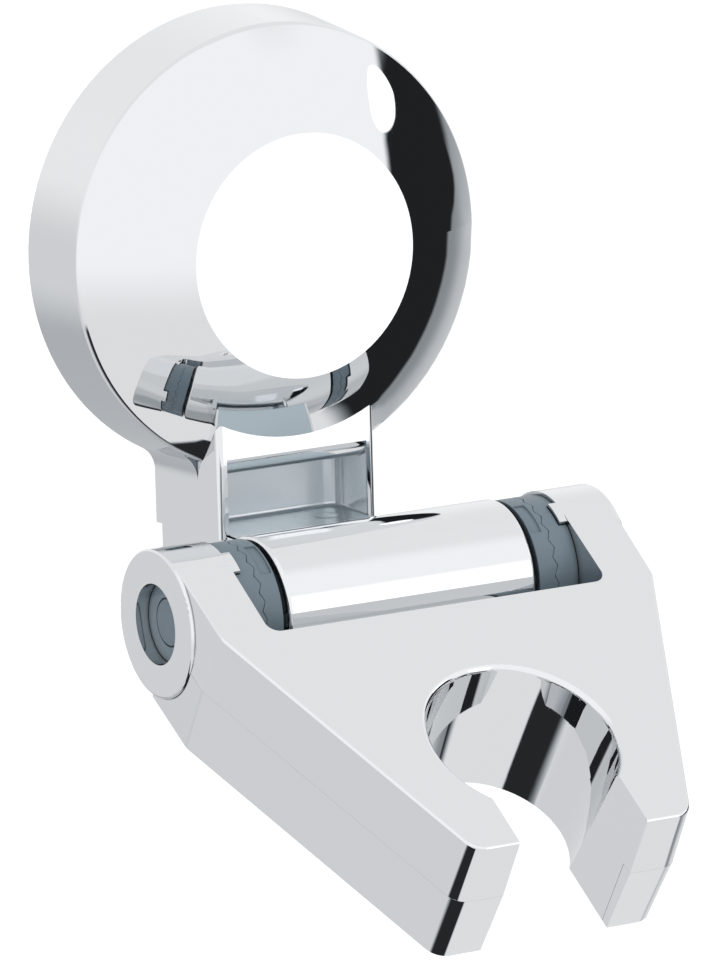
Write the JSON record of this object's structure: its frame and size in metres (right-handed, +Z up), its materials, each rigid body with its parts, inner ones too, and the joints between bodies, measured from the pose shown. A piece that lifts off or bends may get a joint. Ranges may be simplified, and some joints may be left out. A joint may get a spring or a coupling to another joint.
{
  "type": "hand shower holder",
  "caption": "Wall-mounted hand shower holder: round domed rosette over a screwed bracket, and a forked arm with a conical socket that tilts in ratchet steps on a barrel hinge.",
  "frame": {"origin": "centre of the rosette, on the wall's surface", "axes": "+X to the right seen from the room, +Y into the wall, +Z up"},
  "size_m": [0.0562, 0.0743, 0.0946],
  "materials": {
    "chrome_plating": "bright chrome plating on moulded plastic",
    "slate_plastic": "moulded, satin",
    "spring_steel": "drawn wire",
    "screw_steel": "stainless"
  },
  "bodies": {
    "bracket": {"rosette_cover": "chrome_plating", "bracket_body": "chrome_plating", "detent_spring_left": "spring_steel", "detent_spring_right": "spring_steel"},
    "arm": {"arm_top_shell": "chrome_plating", "arm_bottom_cover": "chrome_plating", "hinge_axle": "slate_plastic", "outer_ratchet_hub_left": "slate_plastic", "outer_ratchet_hub_right": "slate_plastic", "bottom_cover_screw_left": "screw_steel", "bottom_cover_screw_right": "screw_steel"},
    "left_inner_hub": {"inner_ratchet_hub_left": "slate_plastic"},
    "right_inner_hub": {"inner_ratchet_hub_right": "slate_plastic"}
  },
  "joints": [
    {"name": "arm_tilt", "type": "hinge", "parent": "bracket", "child": "arm", "pos_m": [0, -0.0306, -0.0357], "axis": [-1, 0, 0], "range_deg": [-60, 120]},
    {"name": "left_hub_lift", "type": "slide", "parent": "bracket", "child": "left_inner_hub", "axis": [1, 0, 0], "range_m": [0, 0.00055], "stiffness_N_per_m": 800, "springref_m": -0.005, "deforming": ["detent_spring_left"]},
    {"name": "right_hub_lift", "type": "slide", "parent": "bracket", "child": "right_inner_hub", "axis": [-1, 0, 0], "range_m": [0, 0.00055], "stiffness_N_per_m": 800, "springref_m": -0.005, "deforming": ["detent_spring_right"]}
  ]
}
